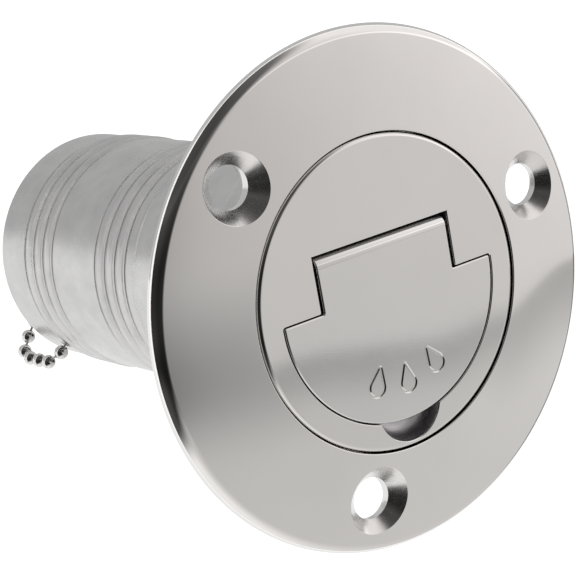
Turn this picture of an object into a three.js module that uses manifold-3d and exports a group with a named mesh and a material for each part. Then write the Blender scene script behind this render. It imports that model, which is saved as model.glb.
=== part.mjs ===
// Deck fill cap: a domed deck plate with a long hose neck, a screw cap that sits
// flush in it, a flip-up turning lever, an O-ring, and a bead chain that ties the
// cap to the neck.
//
// Frame: millimetres, +Z out of the deck along the neck's axis, origin on the axis in
// the plane of the plate's underside (the deck's surface). One screw hole lies at -Y.
import * as THREE from "three";
import { mergeVertices } from "three/addons/utils/BufferGeometryUtils.js";
import Module from "manifold-3d";

const wasm = await Module();
wasm.setup();

// ---------------------------------------------------------------- driving dimensions
const PLATE_R = 38; // deck plate radius
const FACE_Z = 4.4; // height of the plate's crown and of the cap's face above the deck
const DOME_K = 0.0024; // the face falls by DOME_K * (r^2 - RECESS_R^2)
const RIM_ROUND = 1.4; // rounding of the plate's edge
const RECESS_R = 23.0; // radius of the cap's recess in the plate
const SEAT_Z = -2.2; // seat of the cap below the deck plane
const HUB_R = 25.5; // hub below the plate, passes through the deck cut-out
const NECK_R = 19.05; // 38.1 mm neck for a 1 1/2 inch hose
const NECK_IR = 16.65; // bore of the neck
const NECK_END_Z = -77.2; // open end of the neck

const SCREW_PCD_R = 30; // three screw holes on a 60 mm circle
const SCREW_HOLE_R = 3.1;
const SCREW_SINK_R = 5.2; // countersink radius at the face
const SCREW_AZ = [150, 30, 270];

const THREAD_PITCH = 2.309; // eleven threads per inch
const MALE_ROOT_R = 15.2;
const MALE_CREST_R = 16.5;
const FEMALE_ROOT_R = 16.9;
const FEMALE_CREST_R = 15.55;

const CAP_R = 22.65; // screw cap disc
const CAP_AZ = 284.4 - 270; // the lever's axis, turned from -Y
const CAP_UNDER_Z = SEAT_Z + 0.35; // underside of the disc
const PLUG_END_Z = -8.2; // end of the threaded plug
const PLUG_IR = 12.2;
const PLUG_FLOOR_Z = -1.9; // roof of the hollow inside the plug
const POCKET_Z = 1.9; // floor of the lever's pocket
const BARREL_POCKET_Z = 1.05;
const SCOOP_Z = 0.6; // floor of the finger scoop
const SCOOP_Y = -16.5;
const SCOOP_R = 5.5;
const ORING_R = 19.7;
const ORING_SECTION_R = 0.75;

const LEVER_UNDER_Z = 2.2;
const LEVER_TAB = 11.7; // half width of the lever's stem
const LEVER_ARC_R = 18.6; // outer arc of the lever's wings
const LEVER_STEP_Y = 0.3; // edge of the wings on the hinge side
const BARREL_R = 1.5;
const BARREL_Y = 6.9;
const PIN_R = 0.75;
const PIN_HALF = 14.6;
const GAP = 0.35; // clearance round the lever

const BEAD_R = 1.2; // number 3 bead chain
const LINK_R = 0.32;
const BEAD_PITCH = 3.1;
const CHAIN_AZ = 238; // plane of the chain
const SLOPE = THREE.MathUtils.degToRad(9.57); // of the chain's run inside the neck

// The chain's points in its own plane: distance from the axis, and height.
const CHAIN_STOP_POINT = [20.55, -70.6]; // the bead at the neck's wall
const LOOP_POINTS = [
  [22.718, -72.816],
  [22.858, -75.913],
  [22.867, -79.013],
  [21.975, -81.982],
  [19.259, -83.477],
  [16.272, -84.308],
  [13.21, -84.787],
  [10.167, -84.191],
  [8.706, -81.458],
  [9.986, -78.634],
  [13.002, -77.921],
  [15.104, -75.642],
];
const RUN_BEADS = 21;

const CHAIN_HOLE_R = 0.9;

// ---------------------------------------------------------------- materials
const steel = (color, roughness) =>
  new THREE.MeshStandardMaterial({ color, roughness, metalness: 1 });
const MIRROR = steel(0xd2cfca, 0.12);
const SATIN = steel(0xc6c3bf, 0.32);
const CAST = steel(0xb9b7b6, 0.45);
const BEAD = steel(0xcac8c4, 0.18);
const RUBBER = new THREE.MeshStandardMaterial({
  color: 0x17181a,
  roughness: 0.7,
  metalness: 0,
});

// ---------------------------------------------------------------- solids
const rad = THREE.MathUtils.degToRad;

// A closed three.js geometry as a manifold solid.
function solid(geometry) {
  const g = geometry.clone();
  g.deleteAttribute("normal");
  g.deleteAttribute("uv");
  const merged = mergeVertices(g, 1e-4);
  const src = merged.index.array;
  const kept = [];
  for (let i = 0; i < src.length; i += 3) {
    const [a, b, c] = [src[i], src[i + 1], src[i + 2]];
    if (a !== b && b !== c && a !== c) kept.push(a, b, c);
  }
  const make = (tri) =>
    new wasm.Manifold(
      new wasm.Mesh({
        numProp: 3,
        vertProperties: merged.attributes.position.array,
        triVerts: new Uint32Array(tri),
      }),
    );
  const made = make(kept);
  if (made.volume() >= 0) return made;
  const flipped = [];
  for (let i = 0; i < kept.length; i += 3)
    flipped.push(kept[i], kept[i + 2], kept[i + 1]);
  return make(flipped);
}

// A solid of revolution about Z; the profile is a list of [radius, height].
function lathe(profile, segments) {
  const closed = profile[0][0] > 1e-9 || profile.at(-1)[0] > 1e-9;
  const points = profile.map(([r, z]) => new THREE.Vector2(r, z));
  if (closed) points.push(points[0].clone());
  return solid(new THREE.LatheGeometry(points, segments).rotateX(Math.PI / 2));
}

const cylinder = (r0, r1, z0, z1, segments = 32) =>
  solid(
    new THREE.CylinderGeometry(r1, r0, z1 - z0, segments)
      .rotateX(Math.PI / 2)
      .translate(0, 0, (z0 + z1) / 2),
  );

// A prism of a plan outline between two heights.
function prism(outline, z0, z1) {
  const shape = new THREE.Shape(outline.map(([x, y]) => new THREE.Vector2(x, y)));
  return solid(
    new THREE.ExtrudeGeometry(shape, {
      depth: z1 - z0,
      bevelEnabled: false,
    }).translate(0, 0, z0),
  );
}

// A screw thread's ridge: a trapezium swept along a helix and faded out at its ends.
function ridge({ foot, root, crest, footHalf, crestHalf, z0, turns, phase }) {
  const steps = Math.round(turns * 24);
  const position = [];
  for (let i = 0; i <= steps; i++) {
    const a = phase + (i / 24) * 2 * Math.PI;
    const z = z0 + (i / 24) * THREAD_PITCH;
    const fade = Math.min(1, 0.12 + i / 5, 0.12 + (steps - i) / 5);
    const top = root + (crest - root) * fade;
    const half = footHalf + (crestHalf - footHalf) * fade;
    for (const [r, dz] of [
      [foot, -footHalf],
      [root, -footHalf],
      [top, -half],
      [top, half],
      [root, footHalf],
      [foot, footHalf],
    ])
      position.push(r * Math.cos(a), r * Math.sin(a), z + dz);
  }
  const index = [];
  for (let i = 0; i < steps; i++)
    for (let k = 0; k < 6; k++) {
      const [a, b] = [i * 6 + k, i * 6 + ((k + 1) % 6)];
      index.push(a, b, a + 6, b, b + 6, a + 6);
    }
  const end = steps * 6;
  for (const [a, b, c] of [
    [0, 1, 5],
    [1, 4, 5],
    [1, 2, 4],
    [2, 3, 4],
  ])
    index.push(a, c, b, end + a, end + b, end + c);
  const g = new THREE.BufferGeometry();
  g.setAttribute("position", new THREE.Float32BufferAttribute(position, 3));
  g.setIndex(index);
  return solid(g);
}

const root = new THREE.Group();

// Adds a solid to a group as a named mesh.
function add(group, name, manifold, material) {
  const m = manifold.getMesh();
  const v = new Float32Array(m.numVert * 3);
  for (let i = 0; i < m.numVert; i++)
    v.set(m.vertProperties.subarray(i * m.numProp, i * m.numProp + 3), i * 3);
  const g = new THREE.BufferGeometry();
  g.setAttribute("position", new THREE.BufferAttribute(v, 3));
  g.setIndex(new THREE.BufferAttribute(new Uint32Array(m.triVerts), 1));
  const mesh = new THREE.Mesh(g, material);
  mesh.name = name;
  group.add(mesh);
  return mesh;
}

// ---------------------------------------------------------------- deck plate
const face = (r) => FACE_Z - DOME_K * (r * r - RECESS_R * RECESS_R);
const rimCentre = [PLATE_R - RIM_ROUND, face(PLATE_R - RIM_ROUND) - RIM_ROUND];
const rimArc = [72, 44, 20, 0].map((d) => [
  rimCentre[0] + RIM_ROUND * Math.cos(rad(d)),
  rimCentre[1] + RIM_ROUND * Math.sin(rad(d)),
]);
// Three rounded ridges round the neck, centred on a height.
const RIDGE_PITCH = 3.05;
const ridges = (centre) =>
  [1, 0, -1].flatMap((k) => {
    const z = centre + k * RIDGE_PITCH;
    return [
      [NECK_R - 0.25, z + 1.5],
      [NECK_R + 0.3, z + 0.5],
      [NECK_R + 0.3, z - 0.5],
    ];
  });
const plateProfile = [
  [RECESS_R, FACE_Z - 0.45],
  [RECESS_R + 0.14, FACE_Z - 0.12],
  [RECESS_R + 0.45, face(RECESS_R + 0.45)],
  ...[27.2, 31, 34.2].map((r) => [r, face(r)]),
  ...rimArc,
  [PLATE_R, 0.4],
  [PLATE_R - 0.35, 0],
  [HUB_R, 0],
  [HUB_R, -4.4],
  [HUB_R - 0.8, -5.2],
  [21.9, -7.6],
  [20.1, -10.4],
  [NECK_R + 0.25, -13.4],
  [NECK_R, -16.5],
  [NECK_R, -33.5],
  [NECK_R + 0.3, -34.2],
  [NECK_R, -35],
  ...ridges(-41.4),
  [NECK_R - 0.25, -46],
  [NECK_R, -46.6],
  [NECK_R, -59.2],
  ...ridges(-64.2),
  [NECK_R - 0.25, -68.8],
  [NECK_R, -69.3],
  [NECK_R, NECK_END_Z + 0.5],
  [NECK_R - 0.4, NECK_END_Z],
  [NECK_IR + 0.3, NECK_END_Z],
  [NECK_IR, NECK_END_Z + 0.4],
  [NECK_IR, -11.6],
  [FEMALE_ROOT_R, -11.2],
  [FEMALE_ROOT_R, -3.4],
  [17.6, SEAT_Z],
  [RECESS_R, SEAT_Z],
];
let plate = lathe(plateProfile, 44);
// The ridge's height at angle 0 sets the two threads half a pitch apart.
const MALE_Z0 = -7.2;
const FEMALE_Z0 = MALE_Z0 - 1.5 * THREAD_PITCH;
plate = plate.add(
  ridge({
    foot: FEMALE_ROOT_R + 0.5,
    root: FEMALE_ROOT_R,
    crest: FEMALE_CREST_R,
    footHalf: 0.66,
    crestHalf: 0.14,
    z0: FEMALE_Z0,
    turns: 3,
    phase: 0,
  }),
);
for (const az of SCREW_AZ) {
  const [x, y] = [SCREW_PCD_R * Math.cos(rad(az)), SCREW_PCD_R * Math.sin(rad(az))];
  const top = face(SCREW_PCD_R);
  const sink = SCREW_SINK_R - SCREW_HOLE_R;
  const cutter = lathe(
    [
      [0, -1],
      [SCREW_HOLE_R, -1],
      [SCREW_HOLE_R, top - sink],
      [SCREW_SINK_R, top],
      [SCREW_SINK_R + 1.2, top + 1.2],
      [0, top + 1.2],
    ],
    24,
  );
  plate = plate.subtract(cutter.translate(x, y, 0));
}
const chainDir = [Math.cos(rad(CHAIN_AZ)), Math.sin(rad(CHAIN_AZ))];
const chainHole = solid(
  new THREE.CylinderGeometry(CHAIN_HOLE_R, CHAIN_HOLE_R, 8, 16)
    .rotateZ(Math.PI / 2)
    .translate(NECK_R - 1, 0, CHAIN_STOP_POINT[1])
    .rotateZ(rad(CHAIN_AZ)),
);
plate = plate.subtract(chainHole).subtract(
  solid(
    new THREE.CylinderGeometry(1.85, 1.85, 3, 16)
      .rotateZ(Math.PI / 2)
      .translate(NECK_IR + 1.1 - 1.5, 0, CHAIN_STOP_POINT[1])
      .rotateZ(rad(CHAIN_AZ)),
  ),
);
add(root, "deck_plate", plate, MIRROR);

// ---------------------------------------------------------------- screw cap
const capGroup = new THREE.Group();
capGroup.rotation.z = rad(CAP_AZ);
root.add(capGroup);

// Outline of the lever, grown by a clearance.
function leverOutline(grow, hingeEnd) {
  const R = LEVER_ARC_R + grow;
  const y0 = LEVER_STEP_Y + grow;
  const x1 = LEVER_TAB + grow;
  const a0 = Math.asin(y0 / R);
  const points = [
    [x1, hingeEnd],
    [x1, y0 + 0.4],
    [x1 + 0.4, y0],
  ];
  const n = 30;
  const start = a0 - rad(1.2);
  points.push([R * Math.cos(a0) - 0.5, y0]);
  for (let i = 0; i <= n; i++) {
    const a = start - (i / n) * (Math.PI + 2 * start);
    points.push([R * Math.cos(a), R * Math.sin(a)]);
  }
  points.push([-R * Math.cos(a0) + 0.5, y0]);
  points.push([-x1 - 0.4, y0], [-x1, y0 + 0.4], [-x1, hingeEnd]);
  return points.reverse();
}

const capDisc = lathe(
  [
    [0, FACE_Z],
    [CAP_R - 0.75, FACE_Z],
    [CAP_R - 0.25, FACE_Z - 0.2],
    [CAP_R, FACE_Z - 0.7],
    [CAP_R, CAP_UNDER_Z + 0.3],
    [CAP_R - 0.3, CAP_UNDER_Z],
    [ORING_R + 1.05, CAP_UNDER_Z],
    [ORING_R + 1.05, CAP_UNDER_Z + 1.45],
    [ORING_R - 1.05, CAP_UNDER_Z + 1.45],
    [ORING_R - 1.05, CAP_UNDER_Z],
    [16.9, CAP_UNDER_Z],
    [MALE_ROOT_R, CAP_UNDER_Z - 0.6],
    [MALE_ROOT_R, PLUG_END_Z + 0.7],
    [MALE_ROOT_R - 0.7, PLUG_END_Z],
    [PLUG_IR, PLUG_END_Z],
    [PLUG_IR, PLUG_FLOOR_Z],
    [0, PLUG_FLOOR_Z],
  ],
  44,
);
let cap = capDisc.add(
  ridge({
    foot: MALE_ROOT_R - 0.5,
    root: MALE_ROOT_R,
    crest: MALE_CREST_R,
    footHalf: 0.76,
    crestHalf: 0.18,
    z0: MALE_Z0,
    turns: 1.5,
    phase: -rad(CAP_AZ),
  }),
);
cap = cap
  .subtract(prism(leverOutline(GAP, BARREL_Y + BARREL_R + GAP), POCKET_Z, FACE_Z + 2))
  .subtract(
    prism(
      [
        [-LEVER_TAB - GAP, BARREL_Y - BARREL_R - 0.6],
        [LEVER_TAB + GAP, BARREL_Y - BARREL_R - 0.6],
        [LEVER_TAB + GAP, BARREL_Y + BARREL_R + GAP],
        [-LEVER_TAB - GAP, BARREL_Y + BARREL_R + GAP],
      ],
      BARREL_POCKET_Z,
      FACE_Z + 2,
    ),
  )
  .subtract(
    cylinder(SCOOP_R, SCOOP_R, SCOOP_Z, FACE_Z + 2, 40).translate(0, SCOOP_Y, 0),
  )
  .subtract(
    solid(
      new THREE.CylinderGeometry(PIN_R + 0.3, PIN_R + 0.3, 2 * PIN_HALF + 0.7, 16)
        .rotateZ(Math.PI / 2)
        .translate(0, BARREL_Y, FACE_Z - BARREL_R),
    ),
  )
  .subtract(cylinder(1.75, 1.75, PLUG_FLOOR_Z - 1, 0.1, 20));
add(capGroup, "screw_cap", cap, MIRROR);

// ---------------------------------------------------------------- lever and pin
let lever = prism(leverOutline(0, BARREL_Y), LEVER_UNDER_Z, FACE_Z);
const barrel = solid(
  new THREE.CylinderGeometry(BARREL_R, BARREL_R, 2 * LEVER_TAB, 24)
    .rotateZ(Math.PI / 2)
    .translate(0, BARREL_Y, FACE_Z - BARREL_R),
);
const pinBore = solid(
  new THREE.CylinderGeometry(PIN_R + 0.3, PIN_R + 0.3, 2 * LEVER_TAB + 2, 16)
    .rotateZ(Math.PI / 2)
    .translate(0, BARREL_Y, FACE_Z - BARREL_R),
);
lever = lever.add(barrel).subtract(pinBore);
add(capGroup, "flip_lever", lever, SATIN);
add(
  capGroup,
  "hinge_pin",
  solid(
    new THREE.CylinderGeometry(PIN_R, PIN_R, 2 * PIN_HALF, 16)
      .rotateZ(Math.PI / 2)
      .translate(0, BARREL_Y, FACE_Z - BARREL_R),
  ),
  BEAD,
);

// ---------------------------------------------------------------- seal
add(
  root,
  "o_ring",
  lathe(
    Array.from({ length: 8 }, (_, i) => {
      const a = rad(i * 45);
      return [
        ORING_R + ORING_SECTION_R * Math.cos(a),
        CAP_UNDER_Z + 0.7 + ORING_SECTION_R * Math.sin(a),
      ];
    }),
    36,
  ),
  RUBBER,
);

// ---------------------------------------------------------------- tether swivel
add(
  root,
  "swivel_rivet",
  lathe(
    [
      [0, -0.2],
      [1.45, -0.2],
      [1.45, -4.6],
      [2.9, -4.6],
      [2.9, -5.0],
      [2.3, -5.6],
      [1.2, -5.95],
      [0, -6.05],
    ],
    24,
  ),
  BEAD,
);
const chainGroup = new THREE.Group(); // x is the distance from the axis here
chainGroup.rotation.z = rad(CHAIN_AZ);
root.add(chainGroup);
let eye = lathe(
  [
    [1.8, -3.3],
    [4.6, -3.3],
    [4.6, -4.1],
    [1.8, -4.1],
  ],
  32,
);
// The washer's ear, bent down past the rivet's head, with a hole for the coupling.
const ear = solid(new THREE.BoxGeometry(0.8, 3, 6.3).translate(4.0, 0, -6.45));
eye = eye
  .add(ear)
  .subtract(
    solid(
      new THREE.CylinderGeometry(0.8, 0.8, 4, 16)
        .rotateZ(Math.PI / 2)
        .translate(4, 0, -8.2),
    ),
  );
add(chainGroup, "swivel_eye", eye, BEAD);

// The coupling: a ring through the ear, with a cup that holds the first bead.
const ringZ = -9.8;
let coupling = solid(
  new THREE.TorusGeometry(1.55, 0.42, 8, 20).rotateX(Math.PI / 2).translate(4.0, 0, ringZ),
);
const cup = lathe(
  [
    [0, -1.4],
    [0.9, -1.4],
    [1.7, -2.0],
    [1.9, -2.6],
    [1.9, -5.4],
    [1.55, -5.4],
    [1.55, -2.9],
    [0, -2.9],
  ],
  20,
);
coupling = coupling.add(cup.rotate([0, -(SLOPE * 180) / Math.PI, 0]).translate(4.0, 0, ringZ));
add(chainGroup, "chain_coupling", coupling, BEAD);

// ---------------------------------------------------------------- bead chain
// A bead with its link wire, which reaches towards the bead it hangs from.
function bead(at, from, stub = BEAD_PITCH - BEAD_R - 0.3) {
  const [dx, dz] = [from[0] - at[0], from[1] - at[1]];
  const long = Math.hypot(dx, dz);
  const ball = solid(new THREE.IcosahedronGeometry(BEAD_R, 1));
  const wire = solid(
    new THREE.CylinderGeometry(LINK_R, LINK_R, stub - 0.6, 6)
      .rotateX(Math.PI / 2)
      .translate(0, 0, 0.6 + (stub - 0.6) / 2),
  );
  const turn = (Math.atan2(dx, dz) * 180) / Math.PI;
  return ball
    .add(wire)
    .rotate([0, turn, 0])
    .translate(at[0], 0, at[1]);
}

// The bead at the neck's wall, whose wire passes through the wall to the stop inside.
add(
  chainGroup,
  "chain_bead_anchor",
  bead(CHAIN_STOP_POINT, [0, CHAIN_STOP_POINT[1]], CHAIN_STOP_POINT[0] - NECK_IR - 0.35),
  BEAD,
);
// The stop is a cupped washer sunk in the neck's inner wall, round the wire's end.
add(
  chainGroup,
  "chain_stop",
  solid(
    new THREE.LatheGeometry(
      [
        [0.64, 0],
        [1.5, 0],
        [1.35, 0.45],
        [0.64, 0.55],
        [0.64, 0],
      ].map(([r, h]) => new THREE.Vector2(r, h)),
      16,
    )
      .rotateZ(Math.PI / 2)
      .translate(NECK_IR + 0.75, 0, CHAIN_STOP_POINT[1]),
  ),
  BEAD,
);
// The loop beyond the neck's end, from the wall's bead to the run's first bead.
let last = CHAIN_STOP_POINT;
LOOP_POINTS.slice(0, -1).forEach((p, i) => {
  add(chainGroup, "loop_bead_" + String(i + 1).padStart(2, "0"), bead(p, last), BEAD);
  last = p;
});
// The straight run up the inside of the neck to the cup under the cap.
const runEnd = [
  4.0 + 4.3 * Math.sin(SLOPE),
  ringZ - 4.3 * Math.cos(SLOPE),
];
const runStart = LOOP_POINTS.at(-1);
for (let i = 0; i < RUN_BEADS; i++) {
  const t = i / (RUN_BEADS - 1);
  const at = [
    runStart[0] + (runEnd[0] - runStart[0]) * t,
    runStart[1] + (runEnd[1] - runStart[1]) * t,
  ];
  const before =
    i === 0 ? last : [at[0] - (runEnd[0] - runStart[0]), at[1] - (runEnd[1] - runStart[1])];
  add(chainGroup, "run_bead_" + String(i + 1).padStart(2, "0"), bead(at, before), BEAD);
}

export default root;
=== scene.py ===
import bpy
import math
import numpy as np
from mathutils import Matrix, Vector


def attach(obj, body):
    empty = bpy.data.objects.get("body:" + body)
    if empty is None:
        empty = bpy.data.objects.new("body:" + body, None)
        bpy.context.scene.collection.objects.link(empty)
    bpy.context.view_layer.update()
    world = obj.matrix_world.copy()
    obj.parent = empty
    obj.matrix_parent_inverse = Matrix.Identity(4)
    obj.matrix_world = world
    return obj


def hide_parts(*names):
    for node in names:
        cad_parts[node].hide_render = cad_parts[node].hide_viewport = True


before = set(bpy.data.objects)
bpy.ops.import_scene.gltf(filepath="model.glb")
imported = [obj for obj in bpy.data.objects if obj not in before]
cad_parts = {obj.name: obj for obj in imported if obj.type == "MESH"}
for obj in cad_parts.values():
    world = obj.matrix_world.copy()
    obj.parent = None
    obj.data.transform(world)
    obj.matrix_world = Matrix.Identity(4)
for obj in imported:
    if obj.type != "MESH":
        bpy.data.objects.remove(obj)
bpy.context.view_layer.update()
MM = 0.001
rad = math.radians

# ---------------------------------------------------------------- dimensions (mm), the same as the CAD's
PLATE_R, FACE_Z, DOME_K, RIM_ROUND = 38.0, 4.4, 0.0024, 1.4
RECESS_R, SEAT_Z, HUB_R = 23.0, -2.2, 25.5
NECK_R, NECK_IR, NECK_END = 19.05, 16.65, -77.2
SCREW_PCD_R, SCREW_HOLE_R, SCREW_SINK_R = 30.0, 3.1, 5.2
SCREW_AZ = (150, 30, 270)
PITCH = 2.309
MALE_ROOT, MALE_CREST, FEMALE_ROOT, FEMALE_CREST = 15.2, 16.5, 16.9, 15.55
CAP_R, CAP_AZ, CAP_UNDER = 22.65, 14.4, SEAT_Z + 0.35
PLUG_END, PLUG_IR, PLUG_ROOF = -8.2, 12.2, -1.9
POCKET_Z, BARREL_POCKET_Z, SCOOP_Z, SCOOP_Y, SCOOP_R = 1.9, 1.05, 0.6, -16.5, 5.5
ORING_R, ORING_SECTION = 19.7, 0.75
LEVER_UNDER, LEVER_TAB, LEVER_ARC, LEVER_STEP = 2.2, 11.7, 18.6, 0.3
BARREL_R, BARREL_Y, PIN_R, PIN_HALF, GAP = 1.5, 6.9, 0.75, 14.6, 0.35
BEAD_R, LINK_R, CHAIN_AZ = 1.2, 0.3, 238.0
MALE_Z0 = -7.2
FEMALE_Z0 = MALE_Z0 - 1.5 * PITCH
ANCHOR = (20.55, -70.6)
LOOP = [(22.718, -72.816), (22.858, -75.913), (22.867, -79.013), (21.975, -81.982),
        (19.259, -83.477), (16.272, -84.308), (13.21, -84.787), (10.167, -84.191),
        (8.706, -81.458), (9.986, -78.634), (13.002, -77.921), (15.104, -75.642)]
RUN_BEADS = 21
SLOPE = rad(9.57)
RING_Z = -9.8


def face_z(r):
    return FACE_Z - DOME_K * (r * r - RECESS_R * RECESS_R)


# ---------------------------------------------------------------- mesh helpers
def new_object(name, verts, faces):
    me = bpy.data.meshes.new(name)
    me.from_pydata([tuple(map(float, v)) for v in verts], [], [tuple(map(int, f)) for f in faces])
    me.update()
    ob = bpy.data.objects.new(name, me)
    bpy.context.scene.collection.objects.link(ob)
    return ob


class Profile:
    """A closed outline in (radius, height), made of smooth pieces whose normals are known."""

    def __init__(self):
        self.pieces = []

    def curve(self, pts):
        self.pieces.append(np.array(pts, float))
        return self

    def line(self, *pts):
        for a, b in zip(pts[:-1], pts[1:]):
            self.curve([a, b])
        return self

    def arc(self, cx, cz, r, a0, a1, n):
        t = np.radians(np.linspace(a0, a1, n + 1))
        return self.curve(np.c_[cx + r * np.cos(t), cz + r * np.sin(t)])

    def finish(self):
        pts = [self.pieces[0][0]]
        for p in self.pieces:
            if np.hypot(*(p[0] - pts[-1])) > 1e-6:
                pts.append(p[0])
                self.extra = True
            pts.extend(p[1:])
        pts = np.array(pts)
        if np.hypot(*(pts[0] - pts[-1])) < 1e-6:
            pts = pts[:-1]
        q = np.roll(pts, -1, 0)
        self.sign = 1.0 if (pts[:, 0] * q[:, 1] - q[:, 0] * pts[:, 1]).sum() > 0 else -1.0
        segs = []
        for p in self.pieces:
            t = np.gradient(p, axis=0) if len(p) > 2 else np.repeat([p[1] - p[0]], 2, 0)
            if len(p) > 2:
                t[0] = 2 * (p[1] - p[0]) - (p[2] - p[0]) / 2
                t[-1] = 2 * (p[-1] - p[-2]) - (p[-1] - p[-3]) / 2
            t /= np.maximum(np.hypot(t[:, 0], t[:, 1]), 1e-12)[:, None]
            n = self.sign * np.c_[t[:, 1], -t[:, 0]]
            for i in range(len(p) - 1):
                segs.append(np.r_[p[i], p[i + 1], n[i], n[i + 1]])
        self.segs = np.array(segs)
        self.points = pts
        return self


def lathe(name, profile, segments, centre=(0.0, 0.0)):
    """Revolves a closed profile about a line parallel to Z through centre."""
    pts = profile.points if profile.sign > 0 else profile.points[::-1]
    ang = np.linspace(0, 2 * math.pi, segments, endpoint=False)
    verts, index = [], []
    for r, z in pts:
        if r < 1e-6:
            index.append([len(verts)] * segments)
            verts.append((centre[0], centre[1], z))
        else:
            base = len(verts)
            index.append(list(range(base, base + segments)))
            verts.extend((centre[0] + r * math.cos(a), centre[1] + r * math.sin(a), z) for a in ang)
    faces = []
    n = len(pts)
    for i in range(n):
        a, b = index[i], index[(i + 1) % n]
        if a[0] == a[-1] and b[0] == b[-1]:
            continue
        for j in range(segments):
            k = (j + 1) % segments
            f = [a[j], a[k], b[k], b[j]]
            f = [v for m, v in enumerate(f) if v not in f[:m]]
            faces.append(f)
    return new_object(name, verts, faces)


def boolean(ob, cutter, operation="DIFFERENCE", keep=False):
    m = ob.modifiers.new("join", "BOOLEAN")
    m.operation, m.object = operation, cutter
    for solver in ("MANIFOLD", "EXACT"):
        try:
            m.solver = solver
        except TypeError:
            continue
        dg = bpy.context.evaluated_depsgraph_get()
        dg.update()
        made = bpy.data.meshes.new_from_object(ob.evaluated_get(dg))
        if len(made.polygons) > 8:
            break
    ob.modifiers.clear()
    old = ob.data
    ob.data = made
    bpy.data.meshes.remove(old)
    if not keep:
        bpy.data.objects.remove(cutter)
    return ob


def transform(ob, matrix):
    ob.data.transform(matrix)
    ob.data.update()
    return ob


def tidy(ob, tol=2e-4):
    """Merges what the cuts left doubled and drops slivers."""
    import bmesh
    bm = bmesh.new()
    bm.from_mesh(ob.data)
    bmesh.ops.remove_doubles(bm, verts=bm.verts, dist=tol)
    bmesh.ops.dissolve_degenerate(bm, dist=tol / 2, edges=bm.edges)
    bm.to_mesh(ob.data)
    bm.free()
    ob.data.update()
    return ob


def set_normals(ob, segs=None, angle=32, rotate=0.0, planes=()):
    """Smooth shading by angle; where a face lies on the turned profile or on a plane, its exact normals."""
    me = ob.data
    me.shade_smooth()
    me.set_sharp_from_angle(angle=rad(angle))
    nl = len(me.loops)
    cn = np.empty(nl * 3, np.float32)
    me.corner_normals.foreach_get("vector", cn)
    cn = cn.reshape(-1, 3).astype(float)
    co = np.empty(len(me.vertices) * 3, np.float32)
    me.vertices.foreach_get("co", co)
    co = co.reshape(-1, 3).astype(float)
    lv = np.empty(nl, np.int32)
    me.loops.foreach_get("vertex_index", lv)
    start = np.empty(len(me.polygons), np.int32)
    total = np.empty(len(me.polygons), np.int32)
    me.polygons.foreach_get("loop_start", start)
    me.polygons.foreach_get("loop_total", total)
    fn = np.empty(len(me.polygons) * 3, np.float32)
    me.polygons.foreach_get("normal", fn)
    fn = fn.reshape(-1, 3).astype(float)
    pol = np.repeat(np.arange(len(total)), total)
    order = np.argsort(start)
    pol = np.empty(nl, np.int64)
    for f in order:
        pol[start[f]:start[f] + total[f]] = f
    cen = np.zeros((len(total), 3))
    np.add.at(cen, pol, co[lv])
    cen /= total[:, None]
    if segs is not None:
        r = np.hypot(cen[:, 0], cen[:, 1])
        u = cen[:, :2] / np.maximum(r, 1e-9)[:, None]
        fr = (fn[:, :2] * u).sum(1)
        ft = fn[:, 0] * -u[:, 1] + fn[:, 1] * u[:, 0]
        best = np.full(len(total), -1)
        d = segs[:, 2:4] - segs[:, 0:2]
        L2 = (d ** 2).sum(1)
        nm = segs[:, 4:6] + segs[:, 6:8]
        nm /= np.hypot(nm[:, 0], nm[:, 1])[:, None]
        for s in range(0, len(total), 4000):
            e = min(s + 4000, len(total))
            P = np.c_[r[s:e], cen[s:e, 2]]
            w = P[:, None, :] - segs[None, :, 0:2]
            t = np.clip((w * d).sum(2) / L2, 0, 1)
            q = w - t[..., None] * d
            dist = np.hypot(q[..., 0], q[..., 1])
            dot = fr[s:e, None] * nm[None, :, 0] + fn[s:e, None, 2] * nm[None, :, 1]
            dist = np.where(dot > 0.93, dist, 9.0)
            k = dist.argmin(1)
            ok = (dist[np.arange(e - s), k] < 0.02) & (np.abs(ft[s:e]) < 0.12)
            best[s:e] = np.where(ok, k, -1)
        kl = best[pol]
        use = kl >= 0
        k = kl[use]
        p = co[lv[use]]
        pr = np.hypot(p[:, 0], p[:, 1])
        w = np.c_[pr, p[:, 2]] - segs[k, 0:2]
        t = np.clip((w * d[k]).sum(1) / L2[k], 0, 1)[:, None]
        n2 = segs[k, 4:6] * (1 - t) + segs[k, 6:8] * t
        n2 /= np.hypot(n2[:, 0], n2[:, 1])[:, None]
        un = p[:, :2] / np.maximum(pr, 1e-9)[:, None]
        cn[use] = np.c_[un * n2[:, :1], n2[:, 1]]
    flat = np.abs(fn[:, 2]) > 0.99999
    cn[flat[pol]] = np.sign(fn[pol[flat[pol]], 2])[:, None] * np.array([[0, 0, 1.0]])
    cn /= np.linalg.norm(cn, axis=1)[:, None]
    me.normals_split_custom_set([tuple(v) for v in cn])
    return ob


def to_metres(ob):
    ob.data.transform(Matrix.Scale(MM, 4))
    ob.data.update()
    return ob


def offset(outline, d):
    """Moves a counter-clockwise outline outward by d."""
    a = np.roll(outline, 1, 0)
    b = np.roll(outline, -1, 0)
    e0 = outline - a
    e1 = b - outline
    e0 /= np.hypot(*e0.T)[:, None]
    e1 /= np.hypot(*e1.T)[:, None]
    n0 = np.c_[e0[:, 1], -e0[:, 0]]
    n1 = np.c_[e1[:, 1], -e1[:, 0]]
    n = n0 + n1
    n /= np.maximum((n * n0).sum(1), 0.2)[:, None]
    return outline + d * n


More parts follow.
